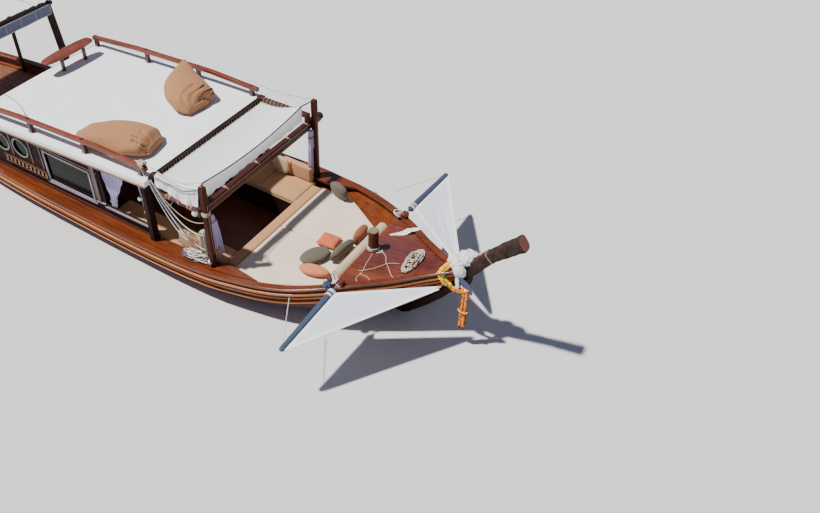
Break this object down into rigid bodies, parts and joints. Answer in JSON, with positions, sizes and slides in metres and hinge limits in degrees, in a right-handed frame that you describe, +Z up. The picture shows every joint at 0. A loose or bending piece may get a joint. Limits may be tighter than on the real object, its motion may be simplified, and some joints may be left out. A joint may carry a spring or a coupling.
{
  "type": "longtail boat",
  "caption": "Wooden longtail day-trip boat with a raked stem, net wings on booms at the bow, a sunken cockpit, a roofed cabin and a swivelling long-shaft engine.",
  "frame": {"origin": "on the centreline at the waterline, just forward of amidships of the cabin", "axes": "+X to the bow, +Y to port, +Z up"},
  "size_m": [21.0998, 5.7026, 3.5612],
  "materials": {
    "hull_wood": "oiled planks",
    "varnished_wood": "gloss varnish",
    "dark_wood": "dark varnish",
    "weathered_wood": "weathered",
    "roof_paint": "matt white paint",
    "canvas": "white canvas",
    "net": "white net",
    "mattress_cloth": "off-white cloth",
    "tan_cloth": "tan cloth",
    "beanbag_cloth": "beige cloth",
    "green_cloth": "sage cloth",
    "terracotta_cloth": "terracotta cloth",
    "boom_cover": "blue-grey cover",
    "rope": "laid rope",
    "garland": "flower garland",
    "painted_steel": "worn paint",
    "engine_paint": "oily paint",
    "bronze": "dull bronze"
  },
  "bodies": {
    "hull": {"hull_bottom": "hull_wood", "topside_port": "hull_wood", "topside_starboard": "hull_wood", "transom": "hull_wood", "sunpad_base": "hull_wood", "gunwale_port": "varnished_wood", "gunwale_starboard": "varnished_wood", "side_deck_port": "varnished_wood", "side_deck_starboard": "varnished_wood", "aft_deck": "varnished_wood", "foredeck": "varnished_wood", "keel": "dark_wood", "bench_port": "dark_wood", "bench_starboard": "dark_wood", "cabin_side_port": "dark_wood", "cabin_side_starboard": "dark_wood", "cabin_bulkhead": "dark_wood", "roof_rail_port": "dark_wood", "roof_rail_starboard": "dark_wood", "roof_bench": "dark_wood", "front_post_port": "dark_wood", "front_post_starboard": "dark_wood", "awning_beam": "dark_wood", "canopy_frame": "dark_wood", "engine_post": "dark_wood", "stem_post": "weathered_wood", "samson_post": "weathered_wood", "roof_deck": "roof_paint", "awning_cloth": "canvas", "canopy_cloth": "canvas", "mattress_port": "mattress_cloth", "mattress_starboard": "mattress_cloth", "bolster": "mattress_cloth", "round_cushion": "mattress_cloth", "seat_cushion_port": "tan_cloth", "seat_cushion_starboard": "tan_cloth", "front_cushion": "tan_cloth", "back_cushion_port": "tan_cloth", "back_cushion_starboard": "tan_cloth", "beanbag_port": "beanbag_cloth", "beanbag_starboard": "beanbag_cloth", "pillow_green_near": "green_cloth", "pillow_green_mid": "green_cloth", "pillow_green_far": "green_cloth", "pillow_terracotta": "terracotta_cloth", "pillow_peach": "terracotta_cloth", "pillow_brown": "terracotta_cloth", "rope_coil": "rope", "rope_hank": "rope", "stem_garland": "garland"},
    "wing_port": {"boom_port": "boom_cover", "net_port": "net"},
    "wing_starboard": {"boom_starboard": "boom_cover", "net_starboard": "net"},
    "swivel": {"swivel_yoke": "painted_steel"},
    "tail": {"engine_frame": "painted_steel", "engine_block": "engine_paint", "tail_tube": "painted_steel"},
    "screw": {"propeller": "bronze"}
  },
  "joints": [
    {"name": "wing_fold_port", "type": "hinge", "parent": "hull", "child": "wing_port", "pos_m": [5.775, 1.25, 1.282], "axis": [0.8645, -0.4986, 0.064], "range_deg": [0, 75]},
    {"name": "wing_fold_starboard", "type": "hinge", "parent": "hull", "child": "wing_starboard", "pos_m": [5.775, -1.25, 1.282], "axis": [-0.8645, -0.4986, -0.064], "range_deg": [0, 75]},
    {"name": "tail_steer", "type": "hinge", "parent": "hull", "child": "swivel", "pos_m": [-7.56, 0, 1.18], "axis": [0, 0, 1], "range_deg": [-40, 40]},
    {"name": "tail_lift", "type": "hinge", "parent": "swivel", "child": "tail", "pos_m": [-7.56, 0, 1.35], "axis": [0, 1, 0], "range_deg": [-6, 22]},
    {"name": "screw_spin", "type": "hinge", "parent": "tail", "child": "screw", "pos_m": [-12.22901, 0, -0.14426], "axis": [0.9426, 0, 0.3338], "continuous": true}
  ]
}
